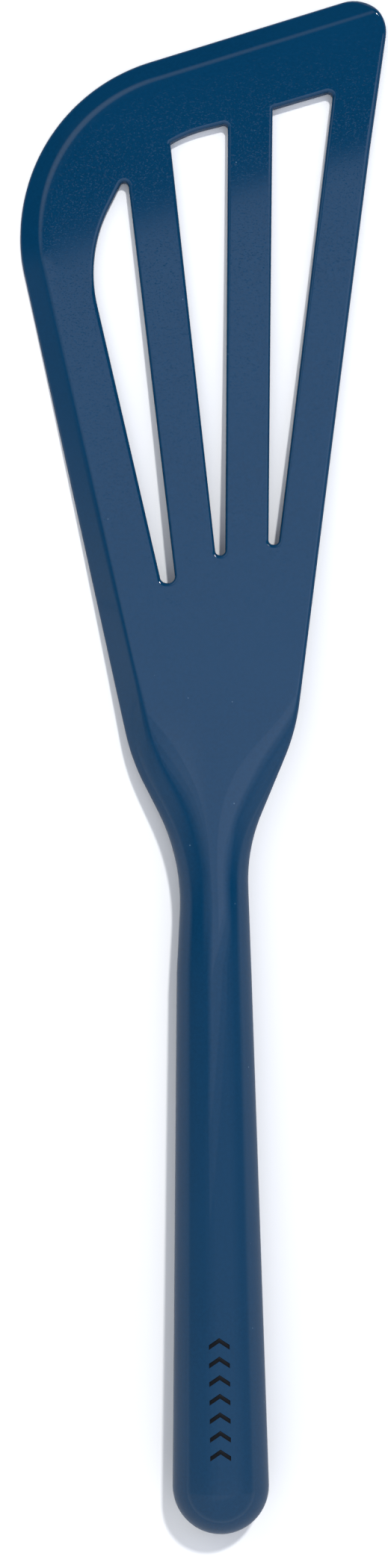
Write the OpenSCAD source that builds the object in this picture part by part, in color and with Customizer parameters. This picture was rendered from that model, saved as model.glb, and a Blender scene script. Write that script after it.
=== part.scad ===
// Slotted kitchen turner: a seamless silicone skin over a slotted spring-steel
// plate, whose tang is riveted between two nylon handle halves. It lies on the
// table, blade towards +Y. The origin is on the table, below the handle's axis,
// half way along the turner.

/* [Handle] */
// Length of the handle, from the round butt to the middle of the neck
handle_l = 140; // [130:1:150]
// Diameter of the handle at its butt
butt_d = 20.6; // [18:0.1:23]
// Diameter of the neck
neck_d = 15.2; // [14:0.1:16.5]

/* [Blade] */
// Length of the blade, from the neck to its furthest point
blade_l = 190; // [182:1:198]
// Width of the blade across its widest part
blade_w = 79.8; // [76:0.2:84]
// Thickness of the blade behind its leading bevel
tip_t = 3.3; // [3.1:0.1:3.8]
// Thickness of the thin lip along the leading edge
lip_t = 0.9; // [0.7:0.1:1.1]
// Width of the bevel along the leading edge and the long side
bevel_w = 4.2; // [3.6:0.1:4.6]
// Radius of the edge along the unbevelled side
edge_r = 0.8; // [0.5:0.1:1]
// Height that the underside arches up by, between the blade and the neck
arch_h = 1.2; // [0.8:0.1:1.6]

/* [Core] */
// Thickness of the spring-steel plate
plate_t = 0.8; // [0.6:0.1:1]
// Silicone left beyond the plate at the slots
slot_cover = 2; // [1.7:0.1:2.3]
// Silicone left beyond the plate along the outline
rim_cover = 5; // [4.6:0.1:5.4]
// Width of the plate's tang
tang_w = 8; // [7:0.5:8.5]
// Wall of silicone over the nylon handle core
skin_t = 2.5; // [2.2:0.1:2.8]
// Diameter of a rivet's shank
rivet_d = 3; // [2.5:0.1:3.5]
// Diameter of a rivet's head
rivet_head_d = 5; // [4.5:0.1:5.5]
// Thickness of a rivet's head
rivet_head_t = 1; // [0.8:0.1:1.2]

/* [Printed mark] */
// Number of chevrons in the plain printed row
chevrons = 7; // [3:1:7]
// Height of a chevron, across the handle
chevron_h = 4.4; // [3:0.1:5]
// Distance from one chevron to the next
chevron_pitch = 3.9; // [3.5:0.1:4.2]
// Depth of the ink below the surface
ink_t = 0.3; // [0.25:0.01:0.4]

/* [Hidden] */

butt_r = butt_d / 2;
neck_r = neck_d / 2;
length = handle_l + blade_l;
blade_scale = blade_l / 190;

// ---- Blending ----
function mix(a, b, t) = a + (b - a) * t;
function clamp01(t) = min(max(t, 0), 1);
function ease(t) = let (c = clamp01(t)) c * c * (3 - 2 * c);
function soft_min(a, b, k) = let (h = max(k - abs(a - b), 0) / k) min(a, b) - h * h * k / 4;

// ---- Outlines with rounded corners, each corner as [x, y, radius] ----
function xy(corner) = [corner.x, corner.y];
function unit(v) = v / norm(v);
function turn(v, a) = [v.x * cos(a) - v.y * sin(a), v.x * sin(a) + v.y * cos(a)];

// The arc that rounds corner b, between its neighbours a and c
function corner_arc(a, b, c, steps) =
    let (
        to_a = unit(xy(a) - xy(b)),
        to_c = unit(xy(c) - xy(b)),
        half = acos(to_a * to_c) / 2,
        centre = xy(b) + unit(to_a + to_c) * b[2] / sin(half),
        start = xy(b) + to_a * b[2] / tan(half) - centre,
        way = sign(to_c.x * to_a.y - to_c.y * to_a.x)
    )
    [for (i = [0:steps]) centre + turn(start, way * (180 - 2 * half) * i / steps)];

// Points of a closed outline; a corner with no radius stays sharp
function rounded(corners, steps) =
    let (n = len(corners))
    [for (i = [0:n - 1]) each corners[i][2] == 0 ? [xy(corners[i])]
        : corner_arc(corners[(i + n - 1) % n], corners[i], corners[(i + 1) % n], steps)];

// A closed counter-clockwise outline moved inwards by d, or outwards where d is negative
function inset(corners, d) =
    let (n = len(corners))
    [for (i = [0:n - 1])
        let (
            here = xy(corners[i]),
            n1 = turn(unit(here - xy(corners[(i + n - 1) % n])), 90),
            n2 = turn(unit(xy(corners[(i + 1) % n]) - here), 90),
            bulge = sign(n1.x * n2.y - n1.y * n2.x),
            moved = here + (n1 + n2) * d / (1 + n1 * n2),
            r = corners[i][2]
        )
        [moved.x, moved.y, r == 0 ? 0 : max(r - bulge * d, 0.3)]];

// ---- Plan of the blade ----
// A corner at the blade's nominal size, stretched to the chosen one: x from the
// handle's axis and y from the neck
function at(x, y, r) = [x * blade_w / 79.8, handle_l + y * blade_scale, r];

neck_start = handle_l - 20;
neck_right = [[handle_r(neck_start), neck_start, 0], [neck_r - 0.2, handle_l + 6.4, 37]];
neck_left = [[-neck_r + 1.1, handle_l + 4.4, 43], [-handle_r(neck_start), neck_start, 0]];
side_right = [at(18.2, 31.6, 46), at(36, 157.3, 150)];
side_left = [at(-14.4, 176.3, 39), at(-38.7, 164.8, 39.5), at(-40.05, 136, 35.5),
    at(-17.2, 26, 46)];
tip_corner = at(41.5, 192.8, 7.1);
sharp_tip = at(41.5, 192.8, 0);
blade_plan = concat(neck_right, side_right, [tip_corner], side_left, neck_left);
// The line that the bevel is measured from runs on straight past the tip's corner
bevel_plan = concat(neck_right, side_right, [sharp_tip], side_left, neck_left);

slot_plans = [
    [at(-10.25, 63.8, 1.4), at(-7.15, 63.8, 1.4), at(-16.6, 153.25, 0.95), at(-25.75, 135.45, 31.5)],
    [at(1.5, 69.7, 0.95), at(3.6, 69.7, 0.95), at(5.4, 163.4, 0.9), at(-3.2, 161.3, 28),
        at(-7.1, 159.2, 0.3)],
    [at(12.9, 71.85, 0.95), at(15.1, 71.85, 0.95), at(28.3, 170.1, 1), at(15.1, 166.4, 0.3)]
];

// x of an outline at height y, on its left side or its right side
function side_table(points, from, to) = [for (i = [from:to]) [points[i].y, points[i].x]];
edge_points = rounded(blade_plan, 24);
tip_y = max([for (p = edge_points) p.y]);
tip_index = [for (i = [0:len(edge_points) - 1]) if (edge_points[i].y == tip_y) i][0];
right_table = side_table(edge_points, 0, tip_index);
left_table = side_table(edge_points, tip_index, len(edge_points) - 1);
bevel_points = rounded(bevel_plan, 24);
crease_points = rounded(inset(bevel_plan, bevel_w), 24);
// Both lists reach the sharp tip after the corner's start and two arcs of 25 points
sharp_index = 1 + 3 * 25;
bevel_table = side_table(bevel_points, sharp_index, len(bevel_points) - 1);
crease_table = side_table(crease_points, sharp_index, len(crease_points) - 1);
straight_y = handle_l + 180 * blade_scale;

// ---- Profile along the turner ----
// Distances past the neck at which the section has become a plain plate, the
// underside and the lip have come down to the table, and the back is level
plate_from = 50;
flat_from = 125;
level_from = 165 * blade_scale;
// How sharply the back and the lip come down along the blade
back_power = 2.2;
lip_power = 1.8;
// The bevel is this much wider where it begins, near the neck
rear_bevel_extra = 0.6;
rear_bevel_l = 85;
arch_l = flat_from + handle_l - neck_start;

// The handle's cone lies on its lowest line
function handle_r(y) = y < butt_r
    ? sqrt(max(butt_r * butt_r - (butt_r - y) * (butt_r - y), 0))
    : mix(butt_r, neck_r, clamp01((y - butt_r) / (handle_l - butt_r)));
function axis_z(y) = mix(butt_r, neck_r, clamp01((y - butt_r) / (handle_l - butt_r)));
function left_x(y) = y < neck_start ? -handle_r(y) : lookup(y, left_table);
function right_x(y) = y < neck_start ? handle_r(y) : lookup(y, right_table);
function top_z(y) =
    let (back = max(handle_l + level_from - y, 0) / level_from)
    soft_min(tip_t + (neck_d + 0.5 - tip_t) * pow(back, back_power), axis_z(y) + handle_r(y), 3);
function bottom_z(y) = y < butt_r ? butt_r - handle_r(y)
    : arch_h * pow(sin(180 * clamp01((handle_l + flat_from - y) / arch_l)), 2);
function lip_z(y) =
    let (back = max(handle_l + flat_from - y, 0) / flat_from)
    soft_min(lip_t / 2 + neck_r * pow(back, lip_power), (top_z(y) + bottom_z(y)) / 2, 1);
// 0 where the section is a bevelled plate, 1 where it is round
function roundness(y) = ease((handle_l + plate_from - y) / (plate_from - 2));

// Width of the bevel along x, and the heights of the plate's two faces
function bevel_run(y) = let (c = min(y, straight_y))
    lookup(c, crease_table) - lookup(c, bevel_table)
        + rear_bevel_extra * clamp01((handle_l + flat_from - y) / rear_bevel_l);
function upper_z(x, y) =
    let (lip_top = lip_z(y) + lip_t / 2)
    min(top_z(y), mix(lip_top, top_z(y), (x - lookup(y, bevel_table)) / bevel_run(y)));
// Under the lip the face drops at this slope to the flat underside
lip_slope = 0.7;
function lower_z(x, y) = max(bottom_z(y), lip_z(y) - lip_t / 2 - lip_slope * (x - left_x(y)));

// ---- Cross-sections of the skin, 40 points each, from the left over the top ----
quarter = 10;
function plate_section(y) =
    let (
        l = left_x(y),
        r = right_x(y),
        crease = min(lookup(y, bevel_table) + bevel_run(y), r - edge_r - 0.1),
        el = min(edge_r, (upper_z(l, y) - lower_z(l, y)) / 2, (r - l) / 6),
        er = min(edge_r, (upper_z(r, y) - lower_z(r, y)) / 2, (r - l) / 6),
        bevel_start = l + el,
        bevel_end = max(crease, bevel_start + 0.1 * (r - l)),
        top_x = concat([for (i = [0:3]) mix(bevel_start, bevel_end, i / 3)],
            [for (i = [1:13]) mix(bevel_end, r - er, i / 13)]),
        under = l + el + min(3, (r - l) / 4),
        low_x = concat([for (i = [0:14]) mix(r - er, under, i / 14)], [(under + l + el) / 2, l + el])
    )
    concat(
        [[l, (upper_z(l, y) + lower_z(l, y)) / 2], [l + 0.3 * el, upper_z(l, y) - 0.3 * el]],
        [for (x = top_x) [x, upper_z(x, y)]],
        [[r - 0.3 * er, upper_z(r, y) - 0.3 * er], [r, (upper_z(r, y) + lower_z(r, y)) / 2],
            [r - 0.3 * er, lower_z(r, y) + 0.3 * er]],
        [for (x = low_x) [x, lower_z(x, y)]],
        [[l + 0.3 * el, lower_z(l, y) + 0.3 * el]]
    );
function round_section(y) =
    let (middle = (left_x(y) + right_x(y)) / 2, half = (right_x(y) - left_x(y)) / 2)
    [for (i = [0:4 * quarter - 1]) let (a = 180 - i * 90 / quarter)
        [middle + half * cos(a), mix(bottom_z(y), top_z(y), (1 + sin(a)) / 2)]];
function section(y) =
    let (m = roundness(y), whole = round_section(y))
    m == 1 ? whole
        : let (plate = plate_section(y)) [for (i = [0:4 * quarter - 1]) mix(plate[i], whole[i], m)];

// Stations along the turner, closest together where it curves most
stations = concat(
    [for (a = [3, 9, 20, 34, 48, 62, 76]) butt_r * (1 - cos(a))],
    [butt_r, neck_start],
    [for (y = [3:3.5:69]) neck_start + y],
    [for (y = [55:6:97]) handle_l + y * blade_scale],
    [for (y = [103:3:181]) handle_l + y * blade_scale],
    [for (a = [90, 78, 66, 54, 42, 30, 18, 9, 3]) tip_y - tip_corner[2] * (1 - cos(a))]
);

module skin_body() {
    ring = 4 * quarter;
    rings = [for (y = stations) [for (p = section(y)) [p.x, y, p[1]]]];
    last = len(stations) - 1;
    sides = [for (i = [0:last - 1], j = [0:ring - 1]) let (a = i * ring, k = (j + 1) % ring) each
        [[a + j, a + ring + j, a + k], [a + k, a + ring + j, a + ring + k]]];
    ends = [[for (j = [0:ring - 1]) j], [for (j = [ring - 1:-1:0]) last * ring + j]];
    polyhedron(points = [for (r = rings) each r], faces = concat(sides, ends));
}

// ---- Steel plate and its tang ----
tang_start = 16;
tang_end = handle_l + 14;
bend_y = handle_l - 5;
bend_l = 25;
// Height of the plate's middle: the handle's axis, then the middle of the blade
function plate_z(y) = mix((top_z(y) + bottom_z(y)) / 2, axis_z(y), ease((bend_y + bend_l - y) / bend_l));

module along_x(w) {
    translate([-w / 2, 0, 0]) rotate([90, 0, 90]) linear_extrude(w) children();
}

module plate_slab(t) {
    ys = concat([tang_start, bend_y], [for (y = [bend_y + 5:5:bend_y + 135]) y], [length]);
    along_x(1.2 * blade_w)
        polygon(concat([for (y = ys) [y, plate_z(y) - t / 2]],
            [for (i = [len(ys) - 1:-1:0]) [ys[i], plate_z(ys[i]) + t / 2]]));
}

module plate_outline() {
    difference() {
        union() {
            polygon(rounded(inset(blade_plan, rim_cover), 8));
            translate([-tang_w / 2, tang_start]) square([tang_w, tang_end - tang_start]);
        }
        for (plan = slot_plans) polygon(rounded(inset(plan, -slot_cover), 6));
    }
}

// ---- Handle core ----
core_butt_r = butt_r - skin_t;
core_neck_r = neck_r - skin_t;
core_end = handle_l - 12;
rivet_inset = 14;
// How far a rivet's head lies below the core's surface
head_depth = 0.6;
rivet_ys = [core_end - rivet_inset, (core_end + butt_r) / 2, butt_r + rivet_inset];

// Places a child so that its Z runs up the handle's axis from the butt's centre
module on_axis() {
    tilt = atan((butt_r - neck_r) / (handle_l - butt_r));
    translate([0, butt_r, butt_r]) rotate([-90 - tilt, 0, 0]) children();
}

module core_solid() {
    arc = [for (a = [0:10:90]) core_butt_r * [cos(a), -sin(a)]];
    on_axis() rotate_extrude($fn = 64)
        polygon(concat([[0, core_end - butt_r], [core_neck_r, core_end - butt_r]], arc));
}

// Half of the nylon core, above or below the tang; side is 1 or -1
module core_half(side) {
    big = 2 * length;
    difference() {
        intersection() {
            core_solid();
            on_axis() translate([-big / 2, side > 0 ? -big : 0, -big / 2]) cube(big);
        }
        blade_plate_solid();
        for (y = rivet_ys) rivet_at(y);
    }
}

module rivet_at(y) {
    reach = mix(core_butt_r, core_neck_r, (y - butt_r) / (core_end - butt_r)) - head_depth;
    on_axis() translate([0, 0, y - butt_r]) rotate([90, 0, 0]) {
        cylinder(d = rivet_d, h = 2 * reach, center = true, $fn = 32);
        for (way = [-1, 1]) translate([0, 0, way * (reach - rivet_head_t / 2)])
            cylinder(d = rivet_head_d, h = rivet_head_t, center = true, $fn = 32);
    }
}

module blade_plate_solid() {
    intersection() {
        linear_extrude(4 * butt_r) plate_outline();
        plate_slab(plate_t);
    }
}

// ---- Printed mark ----
mark_middle = 30;
stroke = 1;
module mark_plan() {
    half_h = chevron_h / 2;
    for (i = [0:chevrons - 1])
        translate([0, mark_middle + (i - (chevrons - 1) / 2) * chevron_pitch])
            polygon([[-half_h, -stroke], [0, stroke / 2], [half_h, -stroke], [half_h, 0],
                [0, 1.5 * stroke], [-half_h, 0]]);
}

module mark_solid() {
    difference() {
        intersection() {
            skin_body();
            translate([0, 0, butt_r]) linear_extrude(2 * butt_r) mark_plan();
        }
        on_axis() cylinder(r1 = butt_r - ink_t, r2 = neck_r - ink_t, h = handle_l - butt_r, $fn = 200);
    }
}

// ---- Sub-parts ----
module silicone_skin() {
    color([0.02, 0.22, 0.36]) difference() {
        skin_body();
        for (plan = slot_plans)
            translate([0, 0, -1]) linear_extrude(2 * butt_d) polygon(rounded(plan, 6));
        blade_plate_solid();
        core_half(1);
        core_half(-1);
        for (y = rivet_ys) rivet_at(y);
        mark_solid();
    }
}

module blade_plate() {
    color([0.72, 0.73, 0.75]) difference() {
        blade_plate_solid();
        for (y = rivet_ys) rivet_at(y);
    }
}

module upper_handle_core() {
    color([0.16, 0.16, 0.17]) core_half(1);
}

module lower_handle_core() {
    color([0.22, 0.22, 0.23]) core_half(-1);
}

module front_rivet() {
    color([0.8, 0.8, 0.82]) rivet_at(rivet_ys[0]);
}

module middle_rivet() {
    color([0.8, 0.8, 0.82]) rivet_at(rivet_ys[1]);
}

module rear_rivet() {
    color([0.8, 0.8, 0.82]) rivet_at(rivet_ys[2]);
}

module printed_mark() {
    color([0.02, 0.02, 0.03]) mark_solid();
}

// Every sub-part is drawn half a length back, so that the origin is at mid-length
module placed() {
    translate([0, -length / 2, 0]) children();
}

placed() silicone_skin();
placed() blade_plate();
placed() upper_handle_core();
placed() lower_handle_core();
placed() front_rivet();
placed() middle_rivet();
placed() rear_rivet();
placed() printed_mark();
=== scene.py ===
"""The looks of the slotted silicone turner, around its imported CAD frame.

The skin is drawn again with finer sections, a rolled rim and rolled slot edges, from the same outlines and
heights as the CAD model. It is drawn in millimetres with x from the handle's axis, y from the butt and z from
the table, and moved into the frame at the end. The steel plate, the nylon core and the rivets inside the
skin keep their CAD meshes and get materials here.
"""

import math

import bpy
import numpy as np
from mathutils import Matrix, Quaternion, Vector
from mathutils.geometry import delaunay_2d_cdt
from mathutils.kdtree import KDTree


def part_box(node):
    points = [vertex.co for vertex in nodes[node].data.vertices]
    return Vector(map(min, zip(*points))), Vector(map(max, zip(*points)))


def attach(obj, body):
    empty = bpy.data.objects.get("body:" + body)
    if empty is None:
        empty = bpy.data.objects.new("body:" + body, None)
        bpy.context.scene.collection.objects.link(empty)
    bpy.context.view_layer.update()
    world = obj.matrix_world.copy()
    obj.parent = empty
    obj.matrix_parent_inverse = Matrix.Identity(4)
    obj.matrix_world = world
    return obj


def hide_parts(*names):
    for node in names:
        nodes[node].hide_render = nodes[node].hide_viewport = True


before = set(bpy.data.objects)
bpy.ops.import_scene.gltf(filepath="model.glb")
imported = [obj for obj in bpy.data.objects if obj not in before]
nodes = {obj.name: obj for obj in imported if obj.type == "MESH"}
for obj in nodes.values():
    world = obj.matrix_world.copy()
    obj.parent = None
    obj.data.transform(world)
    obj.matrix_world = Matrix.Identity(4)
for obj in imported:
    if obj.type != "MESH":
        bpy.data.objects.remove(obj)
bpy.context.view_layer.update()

MM = 0.001

# ---- Sizes that the CAD model is drawn from, in millimetres ----
HANDLE_L, BLADE_L = 140.0, 190.0
BUTT_R, NECK_R = 10.3, 7.6
TIP_T, LIP_T, BEVEL_W, EDGE_R = 3.3, 0.9, 4.2, 0.8
ARCH_H = 1.2
NECK_START = HANDLE_L - 20
# Distances past the neck: the section is round up to the first and a plate from the second, the underside
# and the lip are down on the table from the third, and the back is level from the fourth
ROUND_TO, PLATE_FROM, FLAT_FROM, LEVEL_FROM = 2.0, 50.0, 125.0, 165.0
BACK_POWER, LIP_POWER = 2.2, 1.8
# How far above the neck the curve of the back would reach it
BACK_EXTRA = 0.5
# How softly the back runs into the neck, the lip into the middle, and the underside into the lip's slope
NECK_ROUND, LIP_ROUND, UNDER_ROUND = 3.0, 1.0, 0.3
REAR_BEVEL_EXTRA, REAR_BEVEL_L = 0.6, 85.0
LIP_SLOPE = 0.7

# ---- Sizes of the finer skin ----
CREASE_ROUND = 0.45
SLOT_R = 0.6
# The sections end and the sheets with the slots begin this far from the butt
JOIN_Y = HANDLE_L + PLATE_FROM
# Rings of points over a rolled edge, as shares of its radius, with one ring beyond it
ROLL_STEPS = np.append(1 - np.cos(np.radians([0, 14, 30, 48, 68, 90])), 1.3)
# Lines of points along the crease of the bevel, from its middle
CREASE_LINES = np.array([-0.8, -0.4, 0.0, 0.4, 0.8])
BEVEL_COLUMNS, FLAT_COLUMNS = 2, 32
# Distance between the points along an outline, and the widest angle between them on an arc
SPACING, ARC_STEP = 1.3, math.radians(9)
# Distance between the points that fill the blade, and half the width that they are laid over
GRID, GRID_HALF = 2.2, 42
# Filling points nearer than this share of GRID to a line's points are left out
GRID_CLEAR = 0.6
# Lines along the blade start this far beyond JOIN_Y
ROW_GAP = 0.3
# Rings of points along the handle, and the distance between those on the neck
HANDLE_RINGS, NECK_STEP = 28, 1.5


def at(x, y, r):
    """A corner of the blade's plan, with y from the neck."""
    return (x, HANDLE_L + y, r)


# The neck's sides carry the handle's taper on
NECK_START_R = BUTT_R + (NECK_R - BUTT_R) * (NECK_START - BUTT_R) / (HANDLE_L - BUTT_R)
NECK_RIGHT = [(NECK_START_R, NECK_START, 0), (NECK_R - 0.2, HANDLE_L + 6.4, 37)]
NECK_LEFT = [(-NECK_R + 1.1, HANDLE_L + 4.4, 43), (-NECK_START_R, NECK_START, 0)]
SIDE_RIGHT = [at(18.2, 31.6, 46), at(36, 157.3, 150)]
SIDE_LEFT = [at(-14.4, 176.3, 39), at(-38.7, 164.8, 39.5), at(-40.05, 136, 35.5), at(-17.2, 26, 46)]
BLADE_PLAN = NECK_RIGHT + SIDE_RIGHT + [at(41.5, 192.8, 7.1)] + SIDE_LEFT + NECK_LEFT
BEVEL_PLAN = NECK_RIGHT + SIDE_RIGHT + [at(41.5, 192.8, 0)] + SIDE_LEFT + NECK_LEFT
SLOT_PLANS = [
    [at(-10.25, 63.8, 1.4), at(-7.15, 63.8, 1.4), at(-16.6, 153.25, 0.95), at(-25.75, 135.45, 31.5)],
    [at(1.5, 69.7, 0.95), at(3.6, 69.7, 0.95), at(5.4, 163.4, 0.9), at(-3.2, 161.3, 28),
     at(-7.1, 159.2, 0.3)],
    [at(12.9, 71.85, 0.95), at(15.1, 71.85, 0.95), at(28.3, 170.1, 1), at(15.1, 166.4, 0.3)],
]


# ---- Blending ----
def mix(a, b, t):
    return a + (b - a) * t


def ease(t):
    c = np.clip(t, 0, 1)
    return c * c * (3 - 2 * c)


def soft_min(a, b, k):
    h = np.maximum(k - np.abs(a - b), 0) / k
    return np.minimum(a, b) - h * h * k / 4


# ---- Outlines ----
def unit(v):
    return v / np.linalg.norm(v)


def left_of(v):
    return np.array([-v[1], v[0]])


def outline(corners):
    """Points of a counter-clockwise outline with rounded corners, and the inward normal at each."""
    corners = [np.array(c, float) for c in corners]
    points, normals = [], []
    for before, corner, after in zip(corners[-1:] + corners[:-1], corners, corners[1:] + corners[:1]):
        way_in, way_out = unit(corner[:2] - before[:2]), unit(after[:2] - corner[:2])
        turn = math.atan2(way_in[0] * way_out[1] - way_in[1] * way_out[0], way_in @ way_out)
        radius = math.copysign(corner[2], turn)
        start = corner[:2] - way_in * radius * math.tan(turn / 2)
        centre = start + left_of(way_in) * radius
        steps = 1 + math.ceil(max(abs(turn * radius) / SPACING, abs(turn) / ARC_STEP))
        if points:
            gap = start - points[-1]
            count = int(np.linalg.norm(gap) / SPACING)
            points += [points[-1] + gap * i / (count + 1) for i in range(1, count + 1)]
            normals += [left_of(way_in)] * count
        for i in range(steps + 1):
            a = turn * i / steps
            normal = left_of(way_in * math.cos(a) + left_of(way_in) * math.sin(a))
            points.append(centre - radius * normal)
            normals.append(normal)
    gap = points[0] - points[-1]
    count = int(np.linalg.norm(gap) / SPACING)
    points += [points[-1] + gap * i / (count + 1) for i in range(1, count + 1)]
    normals += [left_of(unit(gap))] * count
    return np.array(points), np.array(normals)


def distance_to(line, x, y, closed=False):
    """Distance from each (x, y) to a line of points, and the place along it, as an index with a fraction."""
    line = np.vstack([line, line[:1]]) if closed else line
    a, b = line[:-1], line[1:]
    along = b - a
    length2 = np.maximum((along**2).sum(1), 1e-12)
    p = np.stack([x, y], -1).reshape(-1, 1, 2)
    t = np.clip(((p - a) * along).sum(2) / length2, 0, 1)
    d = np.linalg.norm(p - a - t[..., None] * along, axis=2)
    nearest = d.argmin(1)
    rows = np.arange(len(nearest))
    return d[rows, nearest].reshape(np.shape(x)), (nearest + t[rows, nearest]).reshape(np.shape(x))


EDGE, EDGE_NORMALS = outline(BLADE_PLAN)
TIP_INDEX = int(EDGE[:, 1].argmax())
# The bevel's line starts at the sharp tip, where it runs straight past the rounded corner
BEVEL, BEVEL_NORMALS = outline(BEVEL_PLAN)
SHARP_INDEX = int(np.flatnonzero(BEVEL[:, 0] == BEVEL[:, 0].max())[-1])
BEVEL, BEVEL_NORMALS = BEVEL[SHARP_INDEX:], BEVEL_NORMALS[SHARP_INDEX:]
SLOTS = [outline(plan) for plan in SLOT_PLANS]


# ---- Heights ----
def handle_r(y):
    cap = np.sqrt(np.maximum(BUTT_R**2 - (BUTT_R - y) ** 2, 0))
    return np.where(y < BUTT_R, cap, axis_z(y))


def axis_z(y):
    return mix(BUTT_R, NECK_R, np.clip((y - BUTT_R) / (HANDLE_L - BUTT_R), 0, 1))


def left_x(y):
    side = EDGE[TIP_INDEX:][::-1]
    return np.where(y < NECK_START, -handle_r(y), np.interp(y, side[:, 1], side[:, 0]))


def right_x(y):
    side = EDGE[: TIP_INDEX + 1]
    return np.where(y < NECK_START, handle_r(y), np.interp(y, side[:, 1], side[:, 0]))


def top_z(y):
    back = np.maximum(HANDLE_L + LEVEL_FROM - y, 0) / LEVEL_FROM
    blade = TIP_T + (2 * NECK_R + BACK_EXTRA - TIP_T) * back**BACK_POWER
    return soft_min(blade, axis_z(y) + handle_r(y), NECK_ROUND)


def bottom_z(y):
    rise = np.clip((HANDLE_L + FLAT_FROM - y) / (FLAT_FROM + HANDLE_L - NECK_START), 0, 1)
    return np.where(y < BUTT_R, BUTT_R - handle_r(y), ARCH_H * np.sin(math.pi * rise) ** 2)


def lip_z(y):
    back = np.maximum(HANDLE_L + FLAT_FROM - y, 0) / FLAT_FROM
    return soft_min(LIP_T / 2 + NECK_R * back**LIP_POWER, (top_z(y) + bottom_z(y)) / 2, LIP_ROUND)


def bevel_width(y):
    return BEVEL_W + REAR_BEVEL_EXTRA * np.clip((HANDLE_L + FLAT_FROM - y) / REAR_BEVEL_L, 0, 1)


def roll(d, r):
    """How far a rounded edge of radius r has dropped, d inside the outline."""
    return r - np.sqrt(np.maximum(r**2 - np.clip(r - d, 0, r) ** 2, 0))


def faces_z(x, y):
    """Heights of the plate's two faces, before their edges are rolled."""
    depth = distance_to(BEVEL, x, y)[0]
    top, lip = top_z(y), lip_z(y)
    upper = soft_min(top, mix(lip + LIP_T / 2, top, depth / bevel_width(y)), CREASE_ROUND)
    lower = -soft_min(-bottom_z(y), LIP_SLOPE * depth + LIP_T / 2 - lip, UNDER_ROUND)
    return upper, lower


# The rim is rolled to its radius where it is thick, and all but full round where it is thin
FULL_ROUND = 0.47
EDGE_UPPER, EDGE_LOWER = faces_z(EDGE[:, 0], EDGE[:, 1])
EDGE_RADIUS = np.minimum(EDGE_R, FULL_ROUND * (EDGE_UPPER - EDGE_LOWER))


def plate_z(x, y):
    """Heights of the plate's two faces, with the rim and the slots' edges rolled."""
    upper, lower = faces_z(x, y)
    d, place = distance_to(EDGE, x, y)
    rim = roll(d, np.interp(place, np.arange(len(EDGE)), EDGE_RADIUS))
    slots = sum(roll(distance_to(points, x, y, True)[0], SLOT_R) for points, _ in SLOTS)
    return upper - rim - slots, lower + rim + slots


def round_share(y):
    """0 where the section is a plate, 1 where it is round."""
    return ease((HANDLE_L + PLATE_FROM - y) / (PLATE_FROM - ROUND_TO))


def skin_z(x, y):
    """Heights of the skin's top and bottom, round at the handle and a plate at the blade."""
    m = round_share(y)
    left, right = left_x(y), right_x(y)
    across = np.clip((2 * x - left - right) / np.maximum(right - left, 1e-9), -1, 1)
    middle, half = (top_z(y) + bottom_z(y)) / 2, (top_z(y) - bottom_z(y)) / 2
    bulge = half * np.sqrt(1 - across**2)
    if m >= 1:
        return middle + bulge, middle - bulge
    upper, lower = plate_z(x, np.full(np.shape(x), y))
    return mix(upper, middle + bulge, m), mix(lower, middle - bulge, m)


# ---- The handle and the neck, as rows of points across ----
def plate_row(y):
    """x of the points across the plate at y, close together at its rims and its crease."""
    sides = []
    for line, end in ((EDGE[TIP_INDEX:][::-1], -1), (EDGE[: TIP_INDEX + 1], 1)):
        index = np.interp(y, line[:, 1], np.arange(len(line)))
        index = len(EDGE) - 1 - index if end < 0 else index
        places = np.arange(len(EDGE))
        radius = np.interp(index, places, EDGE_RADIUS)
        slant = abs(np.interp(index, places, EDGE_NORMALS[:, 0]))
        sides.append((np.interp(y, line[:, 1], line[:, 0]) - end * ROLL_STEPS * radius / slant, slant))
    (left, slant), (right, _) = sides
    crease = left[0] + (bevel_width(y) + CREASE_LINES) / slant
    bevel = np.linspace(left[-1], crease[0], BEVEL_COLUMNS + 2)[1:-1]
    flat = np.linspace(crease[-1], right[-1], FLAT_COLUMNS + 2)[1:-1]
    return np.concatenate([left, bevel, crease, flat, right[::-1]])


def handle_ring(y):
    """Points round the skin at y, from the left over the top."""
    row = plate_row(max(y, NECK_START + 1))
    angles = math.pi * (np.arange(len(row)) + 0.5) / len(row)
    middle, half = (left_x(y) + right_x(y)) / 2, (right_x(y) - left_x(y)) / 2
    x = mix(row, middle - half * np.cos(angles), round_share(y))
    upper, lower = skin_z(x, y)
    top = np.stack([x, np.full(len(x), y), upper], 1)
    under = np.stack([x, np.full(len(x), y), lower], 1)
    return np.vstack([top, under[::-1]])


# ---- The blade, as two sheets of triangles ----
def inside(loop, points):
    """True for each point that lies inside a closed outline."""
    a, b = loop, np.roll(loop, -1, 0)
    x, y = points[:, :1], points[:, 1:]
    crosses = (a[:, 1] > y) != (b[:, 1] > y)
    rise = np.where(b[:, 1] == a[:, 1], 1, b[:, 1] - a[:, 1])
    return (crosses & (x < a[:, 0] + (y - a[:, 1]) * (b[:, 0] - a[:, 0]) / rise)).sum(1) % 2 == 1


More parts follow.
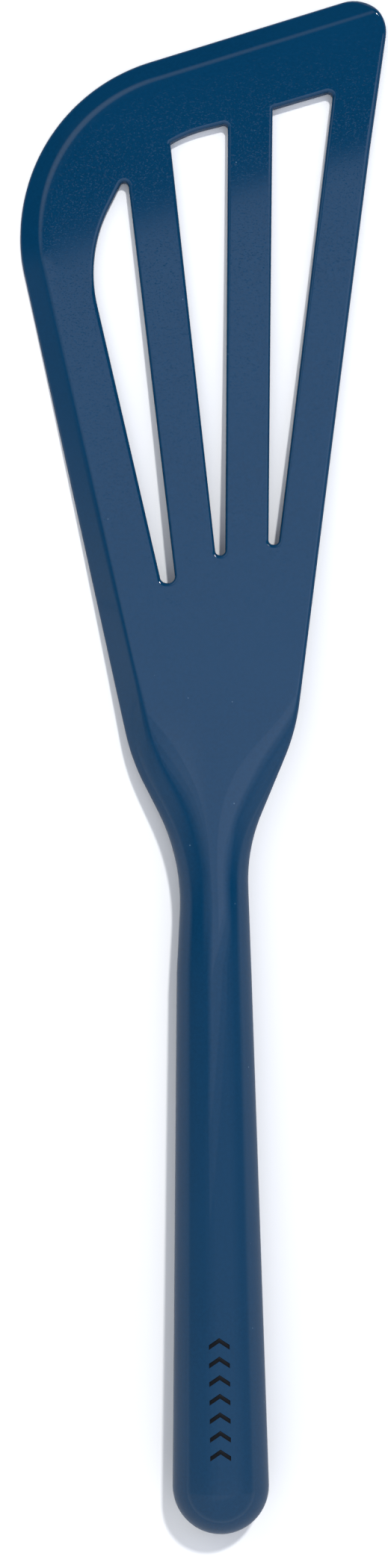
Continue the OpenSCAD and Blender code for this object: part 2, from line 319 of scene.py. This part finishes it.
def blade_mesh():
    """Plan points and triangles of the blade beyond JOIN_Y, with rings of points along every rolled edge."""
    points, edges = [], []

    def add_line(line, closed=False):
        first, count = len(points), len(line)
        points.extend(np.asarray(line, float))
        edges.extend((first + i, first + i + 1) for i in range(count - 1))
        if closed:
            edges.append((first + count - 1, first))

    row = [(x, JOIN_Y) for x in plate_row(JOIN_Y)]
    add_line(row)
    ahead = EDGE[:, 1] > JOIN_Y + ROW_GAP
    for i, step in enumerate(ROLL_STEPS):
        ring = EDGE + EDGE_NORMALS * (EDGE_RADIUS * step)[:, None]
        add_line([row[-1 - i], *ring[ahead], row[i]])
    for loop, normals in SLOTS:
        for step in ROLL_STEPS:
            add_line(loop - normals * SLOT_R * step, closed=True)
    for i, offset in enumerate(CREASE_LINES):
        line = BEVEL + BEVEL_NORMALS * (bevel_width(BEVEL[:, 1]) + offset)[:, None]
        clear = distance_to(EDGE, line[:, 0], line[:, 1])[0] > 1.5 * EDGE_R
        add_line([*line[clear & (line[:, 1] > JOIN_Y + ROW_GAP)], row[len(ROLL_STEPS) + BEVEL_COLUMNS + i]])

    tree = KDTree(len(points))
    for i, p in enumerate(points):
        tree.insert((*p, 0), i)
    tree.balance()
    for j, y in enumerate(np.arange(JOIN_Y + GRID, HANDLE_L + BLADE_L, GRID)):
        for x in np.arange(-GRID_HALF + GRID / 2 * (j % 2), GRID_HALF, GRID):
            if tree.find((x, y, 0))[2] > GRID_CLEAR * GRID:
                points.append(np.array([x, y]))

    flat, _, triangles, *_ = delaunay_2d_cdt([p.tolist() for p in points], edges, [], 0, 1e-5)
    flat, triangles = np.array([tuple(p) for p in flat]), np.array(triangles)
    centres = flat[triangles].mean(1)
    kept = inside(EDGE, centres) & (centres[:, 1] > JOIN_Y)
    for loop, _ in SLOTS:
        kept &= ~inside(loop, centres)
    triangles = triangles[kept]
    used, renumbered = np.unique(triangles, return_inverse=True)
    return flat[used], renumbered.reshape(triangles.shape)


def skin_mesh():
    """Vertices and faces of the whole skin: rings from the butt to JOIN_Y, then the blade's two sheets."""
    plan, triangles = blade_mesh()
    upper, lower = plate_z(plan[:, 0], plan[:, 1])
    count = len(plan)
    vertices = [np.column_stack([plan, upper]), np.column_stack([plan, lower])]
    faces = [tuple(t) for t in triangles] + [tuple(t[::-1] + count) for t in triangles]
    directed = {(int(t[i]), int(t[(i + 1) % 3])) for t in triangles for i in range(3)}
    on_row = plan[:, 1] < JOIN_Y + 1e-3
    for a, b in directed:
        if (b, a) not in directed and not (on_row[a] and on_row[b]):
            faces.append((a, a + count, b + count, b))

    row = np.flatnonzero(on_row)
    row = row[plan[row, 0].argsort()]
    last = [*row, *(row[::-1] + count)]
    cap = BUTT_R * (1 - np.cos(np.radians(np.arange(4, 90, 5))))
    stations = [*cap, *np.linspace(BUTT_R, NECK_START, HANDLE_RINGS),
                *np.arange(NECK_START + NECK_STEP, JOIN_Y - 1, NECK_STEP)]
    rings = [handle_ring(y) for y in stations]
    size, first = len(last), 2 * count
    vertices += rings + [[[0, 0, BUTT_R]]]
    ids = [list(range(first + k * size, first + (k + 1) * size)) for k in range(len(rings))] + [last]
    for near, far in zip(ids, ids[1:]):
        faces += [(near[j - 1], near[j], far[j], far[j - 1]) for j in range(size)]
    pole = first + len(rings) * size
    faces += [(ids[0][j], ids[0][j - 1], pole) for j in range(size)]
    return np.vstack(vertices), faces


def to_frame(vertices):
    """Millimetres from the butt, in metres in the frame."""
    return (np.asarray(vertices, float) - (0, (HANDLE_L + BLADE_L) / 2, 0)) * MM


def add_piece(name, vertices, faces, node):
    """A smooth mesh that rides on the body and stands for one CAD node."""
    mesh = bpy.data.meshes.new(name)
    mesh.from_pydata([tuple(v) for v in vertices], [], faces)
    mesh.shade_smooth()
    piece = bpy.data.objects.new(name, mesh)
    bpy.context.scene.collection.objects.link(piece)
    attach(piece, "root")
    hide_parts(node)
    return piece


def fitted(vertices, node):
    """Vertices stretched by a hair to end where the CAD node's coarser facets end."""
    low, high = (np.array(corner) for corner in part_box(node))
    own_low, own_high = vertices.min(0), vertices.max(0)
    return low + (vertices - own_low) * (high - low) / (own_high - own_low)


skin_vertices, skin_faces = skin_mesh()
skin = add_piece("overmoulded_skin", fitted(to_frame(skin_vertices), "silicone_skin"), skin_faces,
                 "silicone_skin")

# ---- The printed mark: a plain row of chevrons ----
CHEVRONS, CHEVRON_H, CHEVRON_PITCH, STROKE, MARK_MIDDLE = 7, 4.4, 3.9, 1.0, 30.0
INK_ABOVE, INK_BELOW = 0.02, 0.08
MARK_COLUMNS, MARK_ROWS = 17, 4


def chevron(middle_y):
    """Vertices and faces of one chevron that lies in the skin's surface."""
    x = np.linspace(-CHEVRON_H / 2, CHEVRON_H / 2, MARK_COLUMNS)
    low = middle_y - STROKE + 1.5 * STROKE * (1 - np.abs(x) * 2 / CHEVRON_H)
    rows = [np.stack([x, low + STROKE * j / (MARK_ROWS - 1)], 1) for j in range(MARK_ROWS)]
    plan = np.vstack(rows)
    height = np.array([float(skin_z(np.array([px]), py)[0][0]) for px, py in plan])
    count = len(plan)
    vertices = np.vstack([np.column_stack([plan, height + INK_ABOVE]),
                          np.column_stack([plan, height - INK_BELOW])])
    quads = [(j * MARK_COLUMNS + i, j * MARK_COLUMNS + i + 1, (j + 1) * MARK_COLUMNS + i + 1,
              (j + 1) * MARK_COLUMNS + i) for j in range(MARK_ROWS - 1) for i in range(MARK_COLUMNS - 1)]
    rim = [*range(MARK_COLUMNS), *range(2 * MARK_COLUMNS - 1, count, MARK_COLUMNS),
           *range(count - 2, count - MARK_COLUMNS - 1, -1),
           *range(count - 2 * MARK_COLUMNS, 0, -MARK_COLUMNS)]
    walls = [(a, a + count, b + count, b) for a, b in zip(rim, rim[1:] + rim[:1])]
    return vertices, quads + [tuple(i + count for i in q[::-1]) for q in quads] + walls


mark_vertices, mark_faces = [], []
for i in range(CHEVRONS):
    own_vertices, own_faces = chevron(MARK_MIDDLE + (i - (CHEVRONS - 1) / 2) * CHEVRON_PITCH)
    first = sum(len(v) for v in mark_vertices)
    mark_vertices.append(own_vertices)
    mark_faces += [tuple(i + first for i in face) for face in own_faces]
mark = add_piece("chevron_print", to_frame(np.vstack(mark_vertices)), mark_faces, "printed_mark")


# ---- Materials ----
class Nodes:
    """A new material whose nodes are made and linked by short calls."""

    def __init__(self, name):
        self.material = bpy.data.materials.new(name)
        self.material.use_nodes = True
        self.tree = self.material.node_tree
        self.shader = self.tree.nodes["Principled BSDF"]
        self.place = self.add("ShaderNodeTexCoord").outputs["Object"]

    def add(self, kind, inputs=None, **settings):
        node = self.tree.nodes.new(kind)
        for key, value in settings.items():
            setattr(node, key, value)
        for key, value in (inputs or {}).items():
            self.set(node.inputs[key], value)
        return node

    def set(self, socket, value):
        if isinstance(value, bpy.types.NodeSocket):
            self.tree.links.new(value, socket)
        else:
            socket.default_value = value

    def noise(self, scale, detail=2.0, stretch=(1, 1, 1)):
        place = self.add("ShaderNodeMapping", {"Vector": self.place, "Scale": stretch}).outputs[0]
        return self.add("ShaderNodeTexNoise", {"Vector": place, "Scale": scale, "Detail": detail}).outputs[0]

    def between(self, value, low, high, from_low=0.3, from_high=0.7):
        return self.add("ShaderNodeMapRange", {"Value": value, "From Min": from_low, "From Max": from_high,
                                               "To Min": low, "To Max": high}).outputs[0]

    def blend(self, share, a, b):
        node = self.add("ShaderNodeMix", data_type="RGBA")
        for i, value in ((0, share), (6, a), (7, b)):
            self.set(node.inputs[i], value)
        return node.outputs[2]

    def bump(self, height, distance):
        return self.add("ShaderNodeBump", {"Height": height, "Distance": distance}).outputs[0]

    def finish(self, **inputs):
        for key, value in inputs.items():
            self.set(self.shader.inputs[key.replace("_", " ")], value)
        return self.material


def silicone():
    n = Nodes("navy_silicone")
    mottle = n.between(n.noise(35), 0.0, 1.0)
    colour = n.blend(mottle, (0.0012, 0.0295, 0.0755, 1), (0.0016, 0.0335, 0.0845, 1))
    colour = n.blend(n.between(n.noise(1500, 4.0), 0.0, 1.0), colour, (0.0018, 0.036, 0.0915, 1))
    # Dust: a speck in the middle of a few of the cells
    specks = n.add("ShaderNodeTexVoronoi", {"Vector": n.place, "Scale": 420.0, "Randomness": 1.0})
    small = n.between(specks.outputs["Distance"], 1.0, 0.0, 0.035, 0.075)
    chosen = n.add("ShaderNodeSeparateColor", {"Color": specks.outputs["Color"]}).outputs[0]
    few = n.between(chosen, 0.0, 0.5, 0.93, 0.96)
    speck = n.add("ShaderNodeMath", {0: small, 1: few}, operation="MULTIPLY").outputs[0]
    colour = n.blend(speck, colour, (0.16, 0.26, 0.36, 1))
    # Moulded grain with flat spots between, so that the gloss is part sharp and part soft
    grain = n.bump(n.between(n.noise(2600, 3.0), 0.0, 1.0, 0.58, 0.85), 0.000005)
    return n.finish(Base_Color=colour, Roughness=n.between(n.noise(60), 0.4, 0.5), Specular_IOR_Level=0.0,
                    Coat_Weight=0.27, Coat_Roughness=0.035, Coat_IOR=1.8, Coat_Normal=grain, Normal=grain)


def brushed_steel():
    n = Nodes("spring_steel")
    lines = n.noise(900, 3.0, (1, 0.03, 1))
    return n.finish(Base_Color=n.blend(lines, (0.5, 0.51, 0.53, 1), (0.66, 0.67, 0.69, 1)), Metallic=1.0,
                    Roughness=n.between(lines, 0.26, 0.42), Normal=n.bump(lines, 0.00001))


def nylon():
    n = Nodes("filled_nylon")
    fibres = n.noise(700, 4.0, (1, 0.25, 1))
    return n.finish(Base_Color=n.blend(fibres, (0.018, 0.018, 0.02, 1), (0.035, 0.035, 0.038, 1)),
                    Roughness=n.between(fibres, 0.45, 0.62), Normal=n.bump(fibres, 0.00003))


def rivet_steel():
    n = Nodes("rivet_steel")
    turned = n.noise(1500, 2.0)
    return n.finish(Base_Color=n.blend(turned, (0.55, 0.55, 0.56, 1), (0.68, 0.68, 0.69, 1)), Metallic=1.0,
                    Roughness=n.between(turned, 0.2, 0.34), Normal=n.bump(turned, 0.000008))


def ink():
    n = Nodes("pad_print_ink")
    film = n.noise(900, 3.0)
    return n.finish(Base_Color=n.blend(film, (0.0004, 0.001, 0.0024, 1), (0.0008, 0.0018, 0.004, 1)),
                    Roughness=n.between(film, 0.4, 0.5), Normal=n.bump(film, 0.000005), IOR=1.22)


def paper():
    n = Nodes("pale_floor")
    soft = n.noise(6, 2.0)
    return n.finish(Base_Color=n.blend(soft, (0.86, 0.86, 0.865, 1), (0.875, 0.875, 0.88, 1)), Roughness=0.9,
                    Specular_IOR_Level=0.1)


def wear(material, *pieces):
    for piece in pieces:
        piece.data.materials.clear()
        piece.data.materials.append(material)


wear(silicone(), skin)
wear(ink(), mark)
wear(brushed_steel(), nodes["blade_plate"])
wear(nylon(), nodes["upper_handle_core"], nodes["lower_handle_core"])
wear(rivet_steel(), nodes["front_rivet"], nodes["middle_rivet"], nodes["rear_rivet"])

# ---- Floor, camera and lights, in metres ----
FLOOR_HALF, FLOOR_Z = 9.0, -0.00003
floor_corners = [(x * FLOOR_HALF, y * FLOOR_HALF, FLOOR_Z) for x, y in ((-1, -1), (1, -1), (1, 1), (-1, 1))]
floor_mesh = bpy.data.meshes.new("floor")
floor_mesh.from_pydata(floor_corners, [], [(0, 1, 2, 3)])
floor = bpy.data.objects.new("floor", floor_mesh)
bpy.context.scene.collection.objects.link(floor)
wear(paper(), floor)

# The camera looks straight down on the middle of the turner from 750 mm
CAMERA_AT = (-0.00379, -0.0045, 0.75)
CAMERA_TURN = -0.01297
camera = bpy.data.objects.new("camera", bpy.data.cameras.new("camera"))
camera.location = CAMERA_AT
camera.rotation_euler = (0, 0, CAMERA_TURN)
camera.data.lens = 79.3
camera.data.sensor_width = 36
bpy.context.scene.collection.objects.link(camera)
bpy.context.scene.camera = camera


def area_light(name, middle, towards, size, radiance, colour, spin=0.0):
    """A rectangular light of the given radiance that faces a point and that the camera can't see."""
    lamp = bpy.data.lights.new(name, "AREA")
    lamp.shape = "RECTANGLE"
    lamp.size, lamp.size_y = size
    lamp.energy = radiance * math.pi * size[0] * size[1]
    lamp.color = colour
    light = bpy.data.objects.new(name, lamp)
    light.location = middle
    facing = (Vector(middle) - Vector(towards)).to_track_quat("Z", "Y")
    light.rotation_euler = (facing @ Quaternion((0, 0, 1), spin)).to_euler()
    light.visible_camera = False
    bpy.context.scene.collection.objects.link(light)


PALE_BLUE, WHITE, BLUE = (0.98, 1.0, 1.02), (1.0, 1.0, 0.99), (0.92, 1.02, 1.3)
# The key is a small, distant lamp beyond the blade and to its right
area_light("key_light", (0.95, 2.11, 4.4), (0, 0, 0), (0.28, 0.28), 595, WHITE)


# The softbox is a stack of panels, each a little higher than the one before, whose overlap gives it
# soft sides and a dimmer rear: left, right, front, rear, radiance
SOFTBOX_PANELS = (
    (-0.42, 1.5, 0, 0.42, 0.25), (-0.32, 1.25, 0, 0.38, 0.36), (-0.23, 1.0, 0, 0.35, 0.4),
    (-0.15, 0.8, 0, 0.32, 0.52), (0.2, 0.6, 0, 0.29, 0.42), (-0.7, 1.7, 0.35, 0.95, 0.1),
    (-0.45, 1.2, 0.35, 0.9, 0.12), (-0.2, 0.8, 0.35, 0.85, 0.12),
)
SOFTBOX_UP, PANEL_GAP, SOFTBOX_FRONT_Y, SOFTBOX_SPIN = 1, 0.004, 0.315, 0.1
for layer, (left, right, front, rear, radiance) in enumerate(SOFTBOX_PANELS):
    along, back, up = (left + right) / 2, (front + rear) / 2, SOFTBOX_UP + PANEL_GAP * layer
    x = along * math.cos(SOFTBOX_SPIN) + back * math.sin(SOFTBOX_SPIN)
    y = SOFTBOX_FRONT_Y + along * math.sin(SOFTBOX_SPIN) - back * math.cos(SOFTBOX_SPIN)
    area_light("softbox", (x, y, up), (x, y, 0), (right - left, rear - front), radiance, BLUE, SOFTBOX_SPIN)

# The studio is pale behind the butt and dark beyond the blade, with a glow round the horizon
# and a soft fill from beyond the blade and to its left
FILL_FROM = (-0.39, 0.49, 0.78)
world = bpy.data.worlds.new("studio")
world.use_nodes = True
sky = world.node_tree
looked_in = sky.nodes.new("ShaderNodeTexCoord").outputs["Generated"]
direction = sky.nodes.new("ShaderNodeSeparateXYZ")
sky.links.new(looked_in, direction.inputs[0])
towards_fill = sky.nodes.new("ShaderNodeVectorMath")
towards_fill.operation = "DOT_PRODUCT"
sky.links.new(looked_in, towards_fill.inputs[0])
towards_fill.inputs[1].default_value = FILL_FROM
# Each adds to the sky's strength: a direction's value, where it fades from and to, and the strengths there
FADES = (
    (direction.outputs["Y"], -0.35, 0.19, 0.95, 0.0),
    (direction.outputs["Z"], 0.0, 0.25, 0.6, 0.0),
    (towards_fill.outputs["Value"], 0.88, 1.0, 0.0, 1.75),
)
strength = None
for value, low, high, at_low, at_high in FADES:
    fade = sky.nodes.new("ShaderNodeMapRange")
    fade.interpolation_type = "SMOOTHSTEP"
    for key, number in {"From Min": low, "From Max": high, "To Min": at_low, "To Max": at_high}.items():
        fade.inputs[key].default_value = number
    sky.links.new(value, fade.inputs["Value"])
    total = sky.nodes.new("ShaderNodeMath")
    sky.links.new(fade.outputs[0], total.inputs[0])
    total.inputs[1].default_value = 0.0
    if strength:
        sky.links.new(strength, total.inputs[1])
    strength = total.outputs[0]
sky.nodes["Background"].inputs["Color"].default_value = (*PALE_BLUE, 1)
sky.links.new(strength, sky.nodes["Background"].inputs["Strength"])
bpy.context.scene.world = world
bpy.context.scene.view_settings.view_transform = "Standard"
